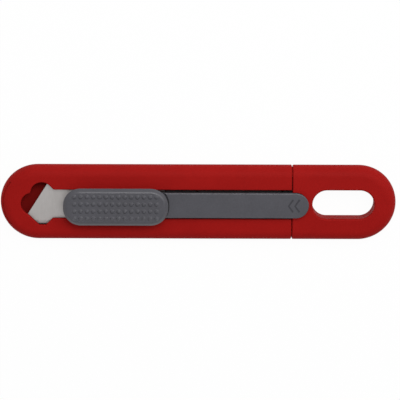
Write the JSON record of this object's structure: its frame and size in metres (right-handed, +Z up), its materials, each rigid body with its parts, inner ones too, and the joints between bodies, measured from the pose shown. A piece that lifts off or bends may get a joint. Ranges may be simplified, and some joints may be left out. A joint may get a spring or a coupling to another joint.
{
  "type": "retractable utility knife",
  "caption": "Flat round-ended utility knife: a thumb pad on a long slider locks and pushes a trapezoid blade out of the nose; the pull-off end cap has a hanging loop and a spare blade tray.",
  "frame": {"origin": "on the flat back, under the middle of the body", "axes": "+X along the body from the nose to the hanging loop, +Z up through the thumb pad, +Y across"},
  "size_m": [0.181, 0.0348, 0.0148],
  "materials": {
    "red_plastic": "fine satin moulded texture",
    "grey_plastic": "matte moulded texture",
    "blade_steel": "ground",
    "dark_nylon": "matte",
    "spring_steel": "rolled",
    "screw_steel": "zinc plated",
    "magnet_nickel": "nickel plated"
  },
  "bodies": {
    "handle": {"top_shell": "red_plastic", "back_shell": "red_plastic", "shell_screws": "screw_steel", "nose_guide": "spring_steel"},
    "slider": {"slider_strip": "grey_plastic", "blade_carrier": "dark_nylon", "carrier_screws": "screw_steel", "blade": "blade_steel", "blade_magnet": "magnet_nickel", "glide_springs": "spring_steel", "button_springs": "spring_steel"},
    "button": {"thumb_button": "grey_plastic", "lock_pawl": "spring_steel", "pawl_screw": "screw_steel"},
    "cap": {"end_cap": "red_plastic", "blade_tray": "dark_nylon", "tray_screws": "screw_steel", "spare_blades": "blade_steel", "tray_leaf": "spring_steel", "cap_springs": "spring_steel"}
  },
  "joints": [
    {"name": "slider_travel", "type": "slide", "parent": "handle", "child": "slider", "axis": [-1, 0, 0], "range_m": [0, 0.022]},
    {"name": "button_press", "type": "slide", "parent": "slider", "child": "button", "axis": [0, 0, -1], "range_m": [0, 0.0008], "stiffness_N_per_m": 1000, "springref_m": -0.0005, "deforming": ["button_springs"]},
    {"name": "cap_pull", "type": "slide", "parent": "handle", "child": "cap", "axis": [1, 0, 0], "range_m": [0, 0.07]}
  ]
}
